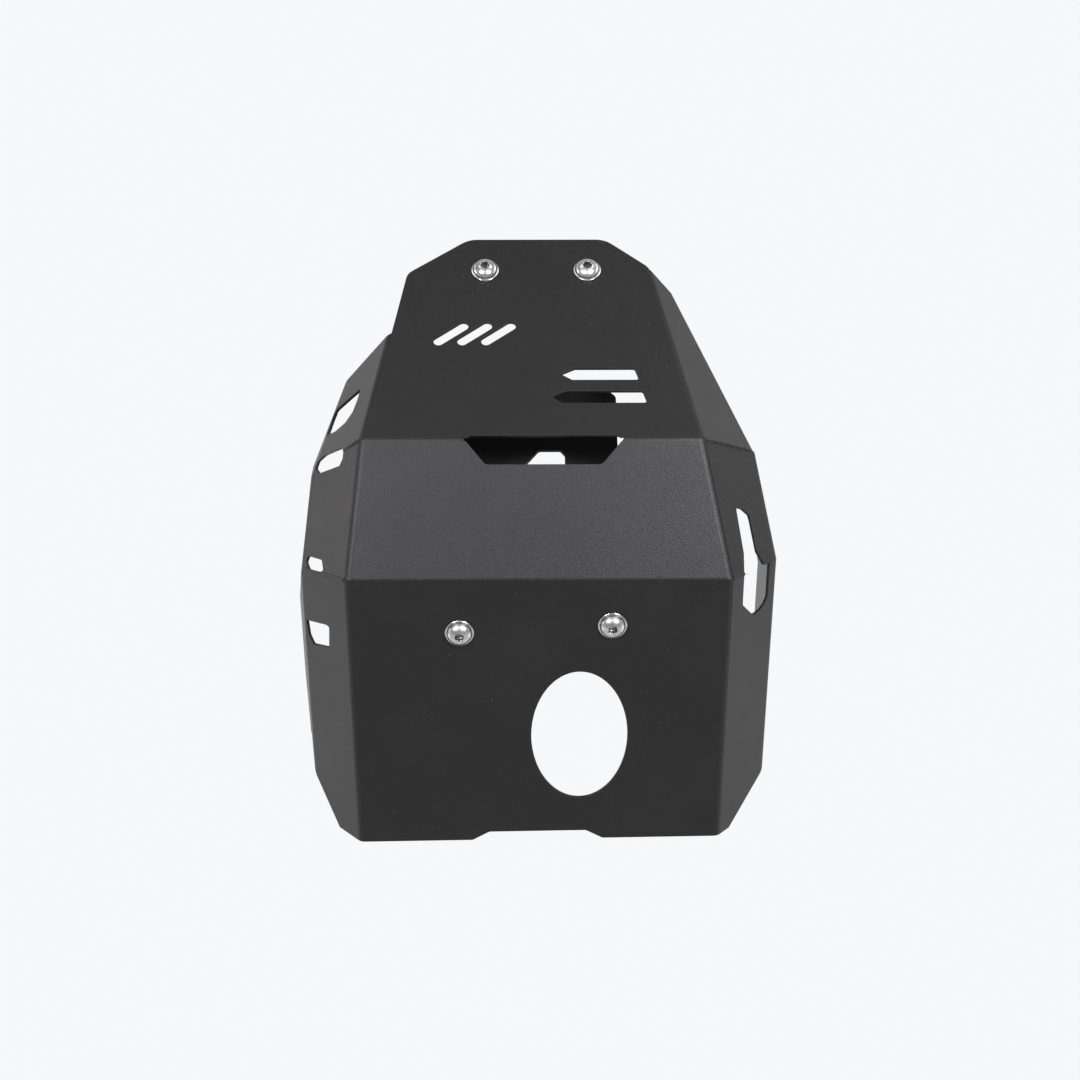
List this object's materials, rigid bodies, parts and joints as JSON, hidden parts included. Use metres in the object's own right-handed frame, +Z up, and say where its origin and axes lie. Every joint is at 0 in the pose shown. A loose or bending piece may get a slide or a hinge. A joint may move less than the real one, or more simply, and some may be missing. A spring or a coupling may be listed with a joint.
{
  "type": "motorcycle skid plate",
  "caption": "Folded and welded black sheet-metal guard that bolts under a motorcycle engine, with its inner front bracket, flanged button-head screws, weld nuts and washers.",
  "frame": {"origin": "midpoint of the two frame-fixing holes, on the upper face of the inner bracket's level leg", "axes": "+X to the rider's left, +Y to the rear wheel, +Z up; the belly panel is level as fitted on the bike"},
  "size_m": [0.3072, 0.3305, 0.229],
  "materials": {
    "guard_coat": "fine-textured matte black powder coat on sheet steel",
    "bracket_coat": "matte black coat on sheet steel",
    "screw_steel": "bright stainless steel",
    "nut_steel": "zinc-plated steel",
    "washer_nylon": "black nylon"
  },
  "bodies": {
    "root": {"guard_plate": "guard_coat", "front_bracket": "bracket_coat", "front_screw_left": "screw_steel", "front_screw_right": "screw_steel", "rear_screw_left": "screw_steel", "rear_screw_right": "screw_steel", "front_nut_left": "nut_steel", "front_nut_right": "nut_steel", "rear_washer_left": "washer_nylon", "rear_washer_right": "washer_nylon"}
  },
  "joints": []
}
